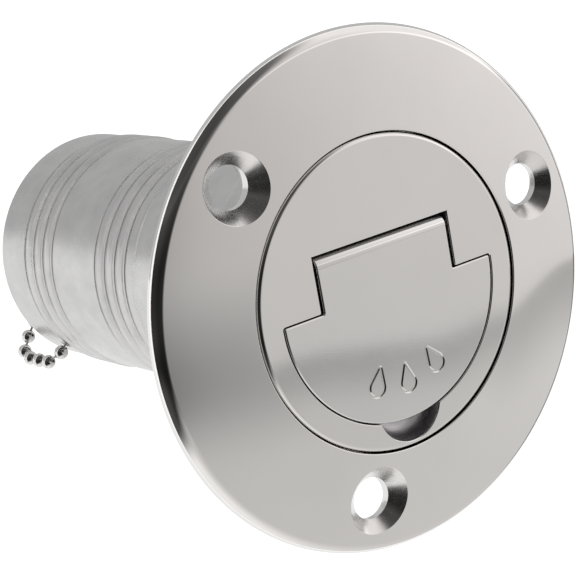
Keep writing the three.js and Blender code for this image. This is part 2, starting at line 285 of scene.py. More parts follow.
def stack(name, outline, layers):
    """A solid of a counter-clockwise outline, offset at each height: layers are (offset, z) upwards."""
    n = len(outline)
    verts, faces = [], []
    for d, z in layers:
        o = offset(outline, d)
        verts.extend((x, y, z) for x, y in o)
    for i in range(len(layers) - 1):
        for j in range(n):
            k = (j + 1) % n
            faces.append((i * n + j, i * n + k, (i + 1) * n + k, (i + 1) * n + j))
    faces.append(tuple(range(n - 1, -1, -1)))
    faces.append(tuple(range((len(layers) - 1) * n, len(layers) * n)))
    return new_object(name, verts, faces)


def fillet(a, p, b, r, n):
    """Points that round the corner p of the path a, p, b."""
    a, p, b = map(lambda q: np.array(q, float), (a, p, b))
    u = (a - p) / np.linalg.norm(a - p)
    v = (b - p) / np.linalg.norm(b - p)
    half = math.acos(np.clip(u @ v, -1, 1)) / 2
    dist = r / math.tan(half)
    c = p + (u + v) / np.linalg.norm(u + v) * (r / math.sin(half))
    p0, p1 = p + u * dist - c, p + v * dist - c
    a0, a1 = math.atan2(p0[1], p0[0]), math.atan2(p1[1], p1[0])
    da = (a1 - a0 + math.pi) % (2 * math.pi) - math.pi
    return [c + r * np.array([math.cos(a0 + da * i / n), math.sin(a0 + da * i / n)]) for i in range(n + 1)]


def tube(name, path, radius, sides=12, closed=False, caps=0.0):
    """A round wire along a path of 3-D points, by parallel transport."""
    P = np.array(path, float)
    n = len(P)
    T = np.roll(P, -1, 0) - np.roll(P, 1, 0) if closed else np.gradient(P, axis=0)
    T /= np.linalg.norm(T, axis=1)[:, None]
    ref = np.array([0.0, 0.0, 1.0]) if abs(T[0][2]) < 0.9 else np.array([1.0, 0, 0])
    N = np.cross(T[0], ref)
    N /= np.linalg.norm(N)
    frames = []
    for i in range(n):
        N = N - T[i] * (N @ T[i])
        N /= np.linalg.norm(N)
        frames.append((N.copy(), np.cross(T[i], N)))
    rs = np.full(n, radius) if np.isscalar(radius) else np.array(radius, float)
    verts, faces = [], []
    for i in range(n):
        A, B = frames[i]
        for s in range(sides):
            a = 2 * math.pi * s / sides
            verts.append(P[i] + rs[i] * (math.cos(a) * A + math.sin(a) * B))
    m = n if closed else n - 1
    for i in range(m):
        for s in range(sides):
            t = (s + 1) % sides
            j = (i + 1) % n
            faces.append((i * sides + s, i * sides + t, j * sides + t, j * sides + s))
    if not closed:
        faces.append(tuple(range(sides - 1, -1, -1)))
        faces.append(tuple(range((n - 1) * sides, n * sides)))
    return new_object(name, verts, faces)


def ridge(name, foot, root, crest, foot_half, crest_half, z0, turns, phase, per_turn=120):
    """A rounded screw thread ridge along a helix, faded out at both ends."""
    sgn = 1 if crest > root else -1
    steps = int(round(turns * per_turn))
    verts, faces = [], []
    for i in range(steps + 1):
        a = phase + 2 * math.pi * i / per_turn
        z = z0 + PITCH * i / per_turn
        fade = min(1.0, 0.03 + i / (per_turn * 0.16), 0.03 + (steps - i) / (per_turn * 0.16))
        fade = fade * fade * (3 - 2 * fade)
        top = root + (crest - root) * fade
        half = foot_half + (crest_half - foot_half) * fade
        soft = 0.12 * fade
        ring = [(foot, -foot_half), (root, -foot_half),
                (top - sgn * soft, -half - soft * 0.45), (top, -half + soft * 0.5),
                (top, half - soft * 0.5), (top - sgn * soft, half + soft * 0.45),
                (root, foot_half), (foot, foot_half)]
        for r, dz in ring:
            verts.append((r * math.cos(a), r * math.sin(a), z + dz))
    m = 8
    for i in range(steps):
        for k in range(m):
            q = (k + 1) % m
            f = (i * m + k, i * m + q, (i + 1) * m + q, (i + 1) * m + k)
            faces.append(f if sgn < 0 else f[::-1])
    e = steps * m
    c0, c1 = tuple(range(m)), tuple(range(e, e + m))
    faces.append(c0[::-1] if sgn < 0 else c0)
    faces.append(c1 if sgn < 0 else c1[::-1])
    ob = new_object(name, verts, faces)
    import bmesh
    bm = bmesh.new()
    bm.from_mesh(ob.data)
    bmesh.ops.recalc_face_normals(bm, faces=bm.faces)
    bm.to_mesh(ob.data)
    bm.free()
    return ob


def rz(deg):
    return Matrix.Rotation(rad(deg), 4, "Z")


# ---------------------------------------------------------------- materials
class Nodes:
    """A short way to write a node tree."""

    def __init__(self, name):
        self.mat = bpy.data.materials.new(name)
        self.mat.use_nodes = True
        self.t = self.mat.node_tree
        self.t.nodes.clear()
        self.out = self.t.nodes.new("ShaderNodeOutputMaterial")
        self.bsdf = self.t.nodes.new("ShaderNodeBsdfPrincipled")
        self.t.links.new(self.bsdf.outputs[0], self.out.inputs[0])
        self.coord = self.t.nodes.new("ShaderNodeTexCoord")

    def mapping(self, scale=(1, 1, 1), rot=(0, 0, 0)):
        m = self.t.nodes.new("ShaderNodeMapping")
        m.inputs["Scale"].default_value = scale
        m.inputs["Rotation"].default_value = rot
        self.t.links.new(self.coord.outputs["Object"], m.inputs["Vector"])
        return m.outputs[0]

    def noise(self, vector, scale, detail=4, rough=0.55, distortion=0.0):
        n = self.t.nodes.new("ShaderNodeTexNoise")
        n.inputs["Scale"].default_value = scale
        n.inputs["Detail"].default_value = detail
        n.inputs["Roughness"].default_value = rough
        n.inputs["Distortion"].default_value = distortion
        self.t.links.new(vector, n.inputs["Vector"])
        return n.outputs["Fac"]

    def ramp(self, fac, stops):
        r = self.t.nodes.new("ShaderNodeValToRGB")
        e = r.color_ramp.elements
        while len(e) < len(stops):
            e.new(0.5)
        for el, (p, c) in zip(e, stops):
            el.position = p
            el.color = (c, c, c, 1) if np.isscalar(c) else (*c, 1)
        self.t.links.new(fac, r.inputs[0])
        return r.outputs[0]

    def mix(self, fac, a, b):
        m = self.t.nodes.new("ShaderNodeMix")
        m.data_type = "RGBA"
        for s, v in ((m.inputs[0], fac), (m.inputs[6], a), (m.inputs[7], b)):
            if isinstance(v, (int, float)):
                s.default_value = v if s == m.inputs[0] else (v, v, v, 1)
            elif isinstance(v, tuple):
                s.default_value = (*v, 1)
            else:
                self.t.links.new(v, s)
        return m.outputs[2]

    def math(self, op, a, b=0.0, clamp=False):
        m = self.t.nodes.new("ShaderNodeMath")
        m.operation = op
        m.use_clamp = clamp
        for s, v in zip(m.inputs, (a, b)):
            if isinstance(v, (int, float)):
                s.default_value = v
            else:
                self.t.links.new(v, s)
        return m.outputs[0]

    def bump(self, height, strength, distance, before=None):
        b = self.t.nodes.new("ShaderNodeBump")
        b.inputs["Strength"].default_value = strength
        b.inputs["Distance"].default_value = distance
        self.t.links.new(height, b.inputs["Height"])
        if before is not None:
            self.t.links.new(before, b.inputs["Normal"])
        return b.outputs[0]

    def link(self, value, socket):
        self.t.links.new(value, self.bsdf.inputs[socket])


def steel(name, colour, rough, spread, scratch=0.25, grain=0.0, grain_scale=900, warm=0.02, stain=0.0, smooth_above=None):
    """Stainless steel: polish marks, a soft unevenness of the polish, and a cast grain where asked."""
    n = Nodes(name)
    n.bsdf.inputs["Metallic"].default_value = 1.0
    n.bsdf.inputs["IOR"].default_value = 2.4
    plain = n.mapping()
    cloud = n.noise(plain, 70, 3, 0.5)
    fine = n.noise(plain, 650, 4, 0.6)
    lines_a = n.noise(n.mapping((1, 26, 3), (0.3, 0.2, 0.6)), 420, 3, 0.6, 0.2)
    lines_b = n.noise(n.mapping((24, 1, 3), (0.1, 0.5, -0.35)), 380, 3, 0.6, 0.2)
    c = np.array(colour)
    tone = n.ramp(cloud, [(0.3, tuple(c * (1 - warm))), (0.7, tuple(np.minimum(c * (1 + warm * 0.6), 1)))])
    if stain:
        spots = n.ramp(n.noise(plain, 190, 6, 0.65), [(0.42, 0.0), (0.7, 1.0)])
        tone = n.mix(n.math("MULTIPLY", spots, stain), tone, tuple(c * 0.72))
    n.link(tone, "Base Color")
    r = n.math("MULTIPLY", n.math("SUBTRACT", cloud, 0.5), spread * 2)
    r = n.math("ADD", r, n.math("MULTIPLY", n.math("SUBTRACT", fine, 0.5), spread))
    streak = n.math("MULTIPLY", n.ramp(lines_a, [(0.56, 0.0), (0.72, 1.0)]), spread * scratch)
    streak2 = n.math("MULTIPLY", n.ramp(lines_b, [(0.58, 0.0), (0.74, 1.0)]), spread * scratch)
    r = n.math("ADD", n.math("ADD", r, streak), streak2)
    r = n.math("ADD", r, rough, clamp=True)
    n.link(r, "Roughness")
    h = n.math("ADD", n.math("MULTIPLY", lines_a, 0.5), n.math("MULTIPLY", lines_b, 0.5))
    normal = n.bump(h, 0.05 * scratch, 0.00002)
    if grain:
        g = n.noise(plain, grain_scale, 5, 0.62)
        normal = n.bump(g, grain, 0.0001, normal)
    n.link(normal, "Normal")
    return n


def plate_material():
    """Mirror polish on the plate's face and edge, satin cast skin on the neck and underneath."""
    n = Nodes("plate_stainless")
    n.bsdf.inputs["Metallic"].default_value = 1.0
    n.bsdf.inputs["IOR"].default_value = 2.4
    plain = n.mapping()
    sep = n.t.nodes.new("ShaderNodeSeparateXYZ")
    n.t.links.new(n.coord.outputs["Object"], sep.inputs[0])
    z = sep.outputs[2]
    cast = n.math("SUBTRACT", 1.0, n.ramp(n.math("ADD", n.math("MULTIPLY", z, 400.0), 0.5, clamp=True), [(0.3, 0.0), (0.5, 1.0)]))
    cloud = n.noise(plain, 70, 3, 0.5)
    fine = n.noise(plain, 900, 4, 0.6)
    lines_a = n.noise(n.mapping((1, 26, 3), (0.3, 0.2, 0.6)), 420, 3, 0.6, 0.2)
    lines_b = n.noise(n.mapping((24, 1, 3), (0.1, 0.5, -0.35)), 380, 3, 0.6, 0.2)
    turned = n.noise(n.mapping((1, 1, 60)), 60, 3, 0.6)
    pits = n.math("ADD", n.math("MULTIPLY", n.noise(plain, 1500, 5, 0.62), 0.6), n.math("MULTIPLY", n.noise(plain, 4200, 3, 0.6), 0.55))
    polish = n.ramp(cloud, [(0.3, (0.80, 0.795, 0.78)), (0.7, (0.83, 0.825, 0.81))])
    skin = n.mix(n.ramp(n.noise(plain, 240, 6, 0.65), [(0.35, 0.0), (0.75, 1.0)]), (0.65, 0.645, 0.64), (0.555, 0.55, 0.55))
    n.link(n.mix(cast, polish, skin), "Base Color")
    r0 = n.math("ADD", n.math("MULTIPLY", n.math("SUBTRACT", cloud, 0.5), 0.06), 0.07)
    r0 = n.math("ADD", r0, n.math("MULTIPLY", n.ramp(lines_a, [(0.56, 0.0), (0.72, 1.0)]), 0.035))
    r0 = n.math("ADD", r0, n.math("MULTIPLY", n.ramp(lines_b, [(0.58, 0.0), (0.74, 1.0)]), 0.03))
    r1 = n.math("ADD", n.math("MULTIPLY", n.math("SUBTRACT", fine, 0.5), 0.2), 0.3)
    r1 = n.math("ADD", r1, n.math("MULTIPLY", n.math("SUBTRACT", cloud, 0.5), 0.2))
    mixr = n.mix(cast, r0, r1)
    n.link(mixr, "Roughness")
    h = n.math("ADD", n.math("MULTIPLY", lines_a, 0.5), n.math("MULTIPLY", lines_b, 0.5))
    n1 = n.bump(h, 0.012, 0.00002)
    hb = n.math("ADD", n.math("MULTIPLY", pits, cast), n.math("MULTIPLY", n.math("MULTIPLY", turned, cast), 0.5))
    n2 = n.bump(hb, 0.14, 0.00012, n1)
    n.link(n2, "Normal")
    return n.mat


def rubber():
    n = Nodes("seal_rubber")
    n.bsdf.inputs["Specular IOR Level"].default_value = 0.35
    plain = n.mapping()
    tone = n.ramp(n.noise(plain, 500, 4), [(0.35, (0.012, 0.012, 0.013)), (0.7, (0.03, 0.03, 0.032))])
    n.link(tone, "Base Color")
    n.link(n.math("ADD", n.math("MULTIPLY", n.noise(plain, 1200, 4), 0.25), 0.5), "Roughness")
    n.link(n.bump(n.noise(plain, 2600, 3), 0.2, 0.00003), "Normal")
    return n.mat


MAT_PLATE = plate_material()
MAT_CAP = steel("cap_stainless", (0.82, 0.815, 0.80), 0.045, 0.02, scratch=0.6).mat
MAT_LEVER = steel("lever_stainless", (0.80, 0.797, 0.785), 0.045, 0.02, scratch=0.7).mat
MAT_PIN = steel("pin_stainless", (0.70, 0.695, 0.69), 0.24, 0.08, scratch=1.0).mat
MAT_CHAIN = steel("chain_stainless", (0.76, 0.755, 0.74), 0.13, 0.08, scratch=1.0, stain=0.35).mat
MAT_SINK = steel("countersink_stainless", (0.76, 0.755, 0.745), 0.2, 0.12, scratch=1.0, grain=0.1, grain_scale=1300).mat
MAT_SCOOP = steel("scoop_stainless", (0.78, 0.765, 0.785), 0.42, 0.10, scratch=0.5, grain=0.12, grain_scale=1600).mat
# pocket walls: a rougher unpolished finish, and a dark base colour that paints shade into the lever pocket and its gap
# lines
MAT_POCKET_SHADE = steel("pocket_painted_shade_stainless", (0.36, 0.355, 0.35), 0.38, 0.12, scratch=1.0, grain=0.1, grain_scale=1300).mat
MAT_SEAL = rubber()


def dress(ob, mat, body, slot, *nodes, extra=()):
    """extra holds (material, test) pairs: faces whose centre passes the test, in mm, take that finish."""
    marks = [(i + 1, [f.index for f in ob.data.polygons if test(f.center, f.normal)]) for i, (_, test) in enumerate(extra)]
    to_metres(ob)
    ob.data.materials.clear()
    for m in [mat] + [m for m, _ in extra]:
        ob.data.materials.append(m)
    for i, faces in marks:
        for f in faces:
            ob.data.polygons[f].material_index = i
    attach(ob, body)
    if nodes:
        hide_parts(*nodes)
    return ob


# ---------------------------------------------------------------- deck plate
def bezier(a, b, c, d, n):
    a, b, c, d = (np.array(q, float) for q in (a, b, c, d))
    return [tuple((1 - t) ** 3 * a + 3 * (1 - t) ** 2 * t * b + 3 * (1 - t) * t * t * c + t ** 3 * d) for t in np.linspace(0, 1, n + 1)]


def plate_profile():
    p = Profile()
    zc = RECESS_R + 0.16
    # recess edge, crown, rim, underside, hub, neck, bore, thread relief, seat
    p.curve([(RECESS_R, SEAT_Z), (RECESS_R, 0.9), (RECESS_R, FACE_Z - 0.17)])
    p.arc(zc, face_z(zc) - 0.16, 0.16, 180, 93.2, 6)
    start = p.pieces[-1][-1]
    rs = np.linspace(start[0], PLATE_R - 1.55, 44)
    p.curve([tuple(start)] + [(r, face_z(r)) for r in rs[1:]])
    cx = PLATE_R - 1.55
    lean = 2 * DOME_K * cx
    p.curve(bezier((cx, face_z(cx)), (cx + 0.95, face_z(cx) - 0.95 * lean), (PLATE_R - 0.1, 1.55), (PLATE_R, 0.86), 20))
    p.curve(bezier((PLATE_R, 0.86), (PLATE_R, 0.68), (PLATE_R - 0.1, 0.6), (PLATE_R - 0.2, 0.5), 5))
    p.line((PLATE_R - 0.2, 0.5), (PLATE_R - 0.75, 0))
    p.curve([(PLATE_R - 0.75, 0), (34.5, 0), (30, 0), (HUB_R + 0.6, 0)])
    p.arc(HUB_R + 0.6, -0.6, 0.6, 90, 180, 5)
    p.curve([(HUB_R, -0.6), (HUB_R, -4.4)])
    # hub to neck: one soft flare
    p.curve(bezier((HUB_R, -4.4), (HUB_R, -7.6), (NECK_R + 0.15, -8.2), (NECK_R, -16.5), 18))
    # outside of the neck, with its ridges
    zs = np.r_[np.linspace(-16.5, -33.0, 6)[:-1], np.linspace(-33.0, -47.6, 120)[:-1],
               np.linspace(-47.6, -58.6, 5)[:-1], np.linspace(-58.6, -70.2, 96)[:-1], np.linspace(-70.2, NECK_END + 0.7, 5)]
    p.curve([(neck_radius(z), z) for z in zs])
    p.arc(NECK_R - 0.7, NECK_END + 0.7, 0.7, 0, -90, 6)
    p.curve([(NECK_R - 0.7, NECK_END), (NECK_IR + 0.45, NECK_END)])
    p.arc(NECK_IR + 0.45, NECK_END + 0.45, 0.45, 270, 180, 5)
    p.curve([(NECK_IR, NECK_END + 0.45), (NECK_IR, -60), (NECK_IR, -40), (NECK_IR, -20), (NECK_IR, -11.7)])
    p.line((NECK_IR, -11.7), (FEMALE_ROOT, -11.3))
    p.curve([(FEMALE_ROOT, -11.3), (FEMALE_ROOT, -7.0), (FEMALE_ROOT, -3.3)])
    p.line((FEMALE_ROOT, -3.3), (17.7, SEAT_Z), (20.2, SEAT_Z), (RECESS_R, SEAT_Z))
    return p.finish()


def neck_radius(z):
    """Outside of the neck: two groups of three rounded ridges with fine grooves, and a faint line above them."""
    r = NECK_R
    for centre in (-41.4, -64.2):
        for k in (-1, 0, 1):
            u = (z - centre - k * 3.05) / 1.15
            if abs(u) < 1:
                r = max(r, NECK_R - 0.06 + 0.36 * (1 - u * u) ** 0.9)
        for k in (-1.5, -0.5, 0.5, 1.5):
            r -= 0.2 * math.exp(-((z - centre - k * 3.05) / 0.2) ** 2)
    r += 0.16 * math.exp(-((z + 34.3) / 0.34) ** 2)
    return r


plate_prof = plate_profile()
plate = lathe("plate_casting", plate_prof, 240)

for az in SCREW_AZ:
    x, y = SCREW_PCD_R * math.cos(rad(az)), SCREW_PCD_R * math.sin(rad(az))
    bore = Profile().line((0, -1.2), (SCREW_HOLE_R + 0.95, -1.2), (SCREW_HOLE_R + 0.25, -0.25))
    bore.line((SCREW_HOLE_R + 0.25, -0.25), (SCREW_HOLE_R, 0.2))
    bore.curve([(SCREW_HOLE_R, 0.2), (SCREW_HOLE_R, 0.9), (SCREW_HOLE_R, 3.0)])
    bore.line((SCREW_HOLE_R, 3.0), (0, 3.0))
    boolean(plate, lathe("cut", bore.finish(), 96, (x, y)))
    q = SCREW_SINK_R
    deep = q - SCREW_HOLE_R + 0.35
    sink = Profile().line((0, -deep - 0.2), (SCREW_HOLE_R - 0.35, -deep - 0.2), (SCREW_HOLE_R - 0.35, -deep))
    sink.curve([(SCREW_HOLE_R - 0.35, -deep), (4.2, -q + 4.2), (q - 0.2, -0.2)])
    sink.curve([(q - 0.2, -0.2), (q - 0.1, -0.115), (q + 0.04, -0.05), (q + 0.22, -0.015), (q + 0.42, 0.0), (q + 0.7, 0.05)])
    sink.line((q + 0.7, 0.05), (q + 0.7, 1.6), (0, 1.6))
    cutter = lathe("cut", sink.finish(), 96)
    lean = math.atan(2 * DOME_K * SCREW_PCD_R)
    transform(cutter, Matrix.Translation((x, y, face_z(SCREW_PCD_R) + 0.045)) @ rz(az) @ Matrix.Rotation(lean, 4, "Y"))
    boolean(plate, cutter)

thread = ridge("female", FEMALE_ROOT + 0.4, FEMALE_ROOT, FEMALE_CREST, 0.66, 0.14, FEMALE_Z0, 3, 0)
boolean(plate, thread, "UNION")

u = np.array([math.cos(rad(CHAIN_AZ)), math.sin(rad(CHAIN_AZ))])


def side_cutter(r, x0, x1, lip=None, sides=32):
    pr = Profile()
    if lip:
        pr.line((0, x0), (r, x0), (r, x1 - lip))
        pr.curve([(r, x1 - lip), (r + lip * 0.3, x1 - lip * 0.35), (r + lip, x1)])
        pr.line((r + lip, x1), (r + lip, x1 + 2), (0, x1 + 2))
    else:
        pr.line((0, x0), (r, x0), (r, x1), (0, x1))
    ob = lathe("cut", pr.finish(), sides)
    transform(ob, rz(CHAIN_AZ) @ Matrix.Translation((0, 0, ANCHOR[1])) @ Matrix.Rotation(rad(90), 4, "Y"))
    return ob


boolean(plate, side_cutter(0.9, 15.0, NECK_R + 0.02, 0.35))
boolean(plate, side_cutter(1.85, 14.5, NECK_IR + 1.1))
tidy(plate)
set_normals(plate, plate_prof.segs)
HOLES = [(SCREW_PCD_R * math.cos(rad(a)), SCREW_PCD_R * math.sin(rad(a))) for a in SCREW_AZ]


def in_sink(c, n):
    return any((c[0] - x) ** 2 + (c[1] - y) ** 2 < (SCREW_SINK_R - 0.1) ** 2 for x, y in HOLES) and c[2] > -0.5 and n[2] < 0.97


dress(plate, MAT_PLATE, "plate", "plate_steel", "deck_plate", extra=[(MAT_SINK, in_sink)])


# ---------------------------------------------------------------- lever outline
def lever_outline(grow, hinge, corner=0.5, step=1.5, tab=None):
    R = LEVER_ARC + grow
    y0 = LEVER_STEP + grow
    x1 = LEVER_TAB + (grow if tab is None else tab)
    ax = math.sqrt(R * R - y0 * y0)
    inner, outer = corner - (0.2 if grow else 0), corner * 0.6 + grow * 0.5
    pts = [(x1, hinge), (-x1, hinge)]
    for yy in np.linspace(hinge, y0 + 1.2, 5)[1:-1]:
        pts.append((-x1, yy))
    pts += fillet((-x1, hinge), (-x1, y0), (-ax, y0), inner, 6)
    for xx in np.linspace(-x1 - 1.4, -ax + 1.4, 4):
        pts.append((xx, y0))
    tangent = rad(180) + math.asin(y0 / R)
    pts += fillet((-x1, y0), (-ax, y0), (-ax - 0.02, y0 - 3), outer, 5)
    a0 = 180 + 2.6
    for a in np.arange(a0, 360 - 2.5, step):
        pts.append((R * math.cos(rad(a)), R * math.sin(rad(a))))
    pts += fillet((ax + 0.02, y0 - 3), (ax, y0), (x1, y0), outer, 5)
    for xx in np.linspace(ax - 1.4, x1 + 1.4, 4):
        pts.append((xx, y0))
    pts += fillet((ax, y0), (x1, y0), (x1, hinge), inner, 6)
    for yy in np.linspace(y0 + 1.2, hinge, 5)[1:-1]:
        pts.append((x1, yy))
    out = [np.array(pts[0], float)]
    for q in pts[1:]:
        q = np.array(q, float)
        if np.hypot(*(q - out[-1])) > 0.03:
            out.append(q)
    return np.array(out)


def round_layers(z0, z1, e_low, e_top, n=4, s=-1):
    """Side wall with rounded edges; s is -1 for a solid, +1 for a cutter that flares."""
    L = []
    if e_low:
        for i in range(n + 1):
            t = rad(90 * i / n)
            L.append((s * e_low * (1 - math.sin(t)), z0 + e_low * (1 - math.cos(t))))
    else:
        L.append((0, z0))
    for i in range(n + 1):
        t = rad(90 * i / n)
        L.append((s * e_top * (1 - math.cos(t)), z1 - e_top + e_top * math.sin(t)))
    return L


# ---------------------------------------------------------------- screw cap
def cap_profile():
    p = Profile()
    e = 0.72
    CAP_R = 22.8
    p.curve([(0, FACE_Z), (6, FACE_Z), (12, FACE_Z), (18, FACE_Z), (CAP_R - e, FACE_Z)])
    p.arc(CAP_R - e, FACE_Z - e, e, 90, 0, 8)
    p.curve([(CAP_R, FACE_Z - e), (CAP_R, 1.5), (CAP_R, CAP_UNDER + 0.35)])
    p.arc(CAP_R - 0.35, CAP_UNDER + 0.35, 0.35, 0, -90, 4)
    g = 1.05
    p.line((CAP_R - 0.35, CAP_UNDER), (ORING_R + g, CAP_UNDER), (ORING_R + g, CAP_UNDER + 1.45),
           (ORING_R - g, CAP_UNDER + 1.45), (ORING_R - g, CAP_UNDER), (17.2, CAP_UNDER))
    p.arc(17.2, CAP_UNDER - 0.0, 0.0001, 90, 180, 1)
    p.line((17.2, CAP_UNDER), (MALE_ROOT, CAP_UNDER - 0.7))
    p.curve([(MALE_ROOT, CAP_UNDER - 0.7), (MALE_ROOT, -5.0), (MALE_ROOT, PLUG_END + 0.75)])
    p.line((MALE_ROOT, PLUG_END + 0.75), (MALE_ROOT - 0.75, PLUG_END), (PLUG_IR + 0.3, PLUG_END), (PLUG_IR, PLUG_END + 0.3))
    p.curve([(PLUG_IR, PLUG_END + 0.3), (PLUG_IR, -5), (PLUG_IR, PLUG_ROOF - 1.0)])
    p.arc(PLUG_IR - 1.0, PLUG_ROOF - 1.0, 1.0, 0, 90, 6)
    p.curve([(PLUG_IR - 1.0, PLUG_ROOF), (6, PLUG_ROOF), (0, PLUG_ROOF)])
    p.pieces = [q for q in p.pieces if np.hypot(*(q[0] - q[-1])) > 1e-3]
    return p.finish()


cap_prof = cap_profile()
cap = lathe("cap_body", cap_prof, 240)
hinge_y = BARREL_Y + BARREL_R + GAP
pocket = stack("cut", lever_outline(0.24, hinge_y, tab=0.46), [(0, POCKET_Z)] + [
    (0, FACE_Z - 0.2), (0.012, FACE_Z - 0.135), (0.045, FACE_Z - 0.07), (0.095, FACE_Z - 0.02), (0.16, FACE_Z + 0.012), (0.3, FACE_Z + 0.05), (0.32, FACE_Z + 1.5)])
boolean(cap, pocket)
w = LEVER_TAB + 0.48
channel = [(-w, hinge_y), (-w, BARREL_Y - BARREL_R - 0.6), (w, BARREL_Y - BARREL_R - 0.6), (w, hinge_y)]
prof = [(BARREL_Y - BARREL_R - 0.6, POCKET_Z + 0.8)]
chan_pts = [(BARREL_Y - BARREL_R - 0.6, POCKET_Z + 0.6)] + [(BARREL_Y - (BARREL_R + 0.35) * math.cos(rad(a)), FACE_Z - BARREL_R - (BARREL_R + 0.35) * math.sin(rad(a))) for a in range(40, 91, 10)] + [
    (hinge_y - 0.002, BARREL_POCKET_Z), (hinge_y - 0.002, POCKET_Z + 0.6)]
n = len(chan_pts)
verts = [(-w + 0.002, y, z) for y, z in chan_pts] + [(w - 0.002, y, z) for y, z in chan_pts]
faces = [(i, (i + 1) % n, n + (i + 1) % n, n + i) for i in range(n)] + [tuple(range(n - 1, -1, -1)), tuple(range(n, 2 * n))]
chan = new_object("cut", verts, faces)
import bmesh
bm = bmesh.new(); bm.from_mesh(chan.data); bmesh.ops.recalc_face_normals(bm, faces=bm.faces); bm.to_mesh(chan.data); bm.free()
boolean(cap, chan)
sc = Profile()
sc.curve([(0, SCOOP_Z), (1.5, SCOOP_Z), (SCOOP_R - 2.2, SCOOP_Z)])
sc.arc(SCOOP_R - 2.2, SCOOP_Z + 2.2, 2.2, 270, 360, 12)
sc.curve([(SCOOP_R, SCOOP_Z + 2.2), (SCOOP_R, FACE_Z - 0.25), (SCOOP_R + 0.02, FACE_Z - 0.15), (SCOOP_R + 0.08, FACE_Z - 0.05), (SCOOP_R + 0.17, FACE_Z + 0.01)])
sc.line((SCOOP_R + 0.17, FACE_Z + 0.01), (SCOOP_R + 0.3, FACE_Z + 0.05), (SCOOP_R + 0.3, FACE_Z + 1.2), (0, FACE_Z + 1.2))
boolean(cap, lathe("cut", sc.finish(), 96, (0, SCOOP_Y)))


def x_cylinder(name, r, half, y, z, sides=40, bevel=0.0):
    pr = Profile()
    if bevel:
        pr.line((0, -half), (r - bevel, -half))
        pr.arc(r - bevel, -half + bevel, bevel, 270, 360, 5)
        pr.curve([(r, -half + bevel), (r, 0), (r, half - bevel)])
        pr.arc(r - bevel, half - bevel, bevel, 0, 90, 5)
        pr.line((r - bevel, half), (0, half))
    else:
        pr.line((0, -half), (r, -half), (r, half), (0, half))
    ob = lathe(name, pr.finish(), sides)
    return transform(ob, Matrix.Translation((0, y, z)) @ Matrix.Rotation(rad(90), 4, "Y"))


boolean(cap, x_cylinder("cut", PIN_R + 0.3, PIN_HALF + 0.35, BARREL_Y, FACE_Z - BARREL_R, 32))
male = ridge("male", MALE_ROOT - 0.4, MALE_ROOT, MALE_CREST, 0.76, 0.18, MALE_Z0, 1.5, -rad(CAP_AZ))
boolean(cap, male, "UNION")
hole = Profile().line((0, PLUG_ROOF - 1), (1.75, PLUG_ROOF - 1), (1.75, 0.1), (0, 0.1)).finish()
boolean(cap, lathe("cut", hole, 32))
tidy(cap)
set_normals(cap, cap_prof.segs)
transform(cap, rz(CAP_AZ))
SCOOP_AT = (SCOOP_Y * -math.sin(rad(CAP_AZ)), SCOOP_Y * math.cos(rad(CAP_AZ)))


def in_scoop(c, n):
    return (c[0] - SCOOP_AT[0]) ** 2 + (c[1] - SCOOP_AT[1]) ** 2 < (SCOOP_R + 0.01) ** 2 and SCOOP_Z - 0.2 < c[2] < FACE_Z - 0.24


# faces inside the lever pocket: these take the dark base colour that paints shade into the pocket
def in_pocket(c, n):
    return math.hypot(c[0], c[1]) < 19.4 and 0.2 < c[2] < FACE_Z - 0.22


dress(cap, MAT_CAP, "cap", "cap_steel", "screw_cap", extra=[(MAT_POCKET_SHADE, in_pocket), (MAT_SCOOP, in_scoop)])

# ---------------------------------------------------------------- lever
outline = lever_outline(0.05, BARREL_Y, tab=0.0)
lever = stack("lever_plate", outline, round_layers(LEVER_UNDER, FACE_Z, 0.25, 0.26, 5))
barrel = x_cylinder("barrel", BARREL_R, LEVER_TAB, BARREL_Y, FACE_Z - BARREL_R, 72, 0.22)
boolean(lever, barrel, "UNION")
boolean(lever, x_cylinder("cut", PIN_R + 0.3, LEVER_TAB + 1, BARREL_Y, FACE_Z - BARREL_R, 32))


def drop_outline(belly=1.32, tip=2.35, low=-0.95):
    """A plain fuel drop: a round belly, straight flanks and a softly rounded point."""
    k = math.asin(belly / (tip - low))
    left = np.array([-belly * math.cos(k), low + belly * math.sin(k)])
    right = np.array([belly * math.cos(k), left[1]])
    point = fillet(left, (0, tip), right, 0.22, 8)
    arc = [np.array([belly * math.cos(a), low + belly * math.sin(a)]) for a in np.linspace(k, -math.pi - k, 40)]
    return np.array(point + arc)


for az in (-112, -88, -64):
    a = rad(az)
    d = drop_outline()
    # the drop's point looks to the cap's centre
    ux, uy = np.array([-math.sin(a), math.cos(a)]), np.array([-math.cos(a), -math.sin(a)])
    c = 12.6 * np.array([math.cos(a), math.sin(a)])
    path = [(*(c + px * -ux + py * uy), FACE_Z + 0.06) for px, py in d]
    boolean(lever, tube("cut", path, 0.28, 10, True))
tidy(lever)
set_normals(lever, None, 28)
transform(lever, rz(CAP_AZ))
dress(lever, MAT_LEVER, "lever", "lever_steel", "flip_lever")

pin = x_cylinder("pin_rod", PIN_R, PIN_HALF, BARREL_Y, FACE_Z - BARREL_R, 40, 0.15)
set_normals(pin, None, 40)
transform(pin, rz(CAP_AZ))
dress(pin, MAT_PIN, "cap", "pin_steel", "hinge_pin")

# ---------------------------------------------------------------- seal
ring = Profile().arc(ORING_R, CAP_UNDER + 0.7, ORING_SECTION, 0, 360, 28).finish()
seal = lathe("seal_ring", ring, 144)
set_normals(seal, ring.segs, 60)
dress(seal, MAT_SEAL, "cap", "seal_rubber", "o_ring")

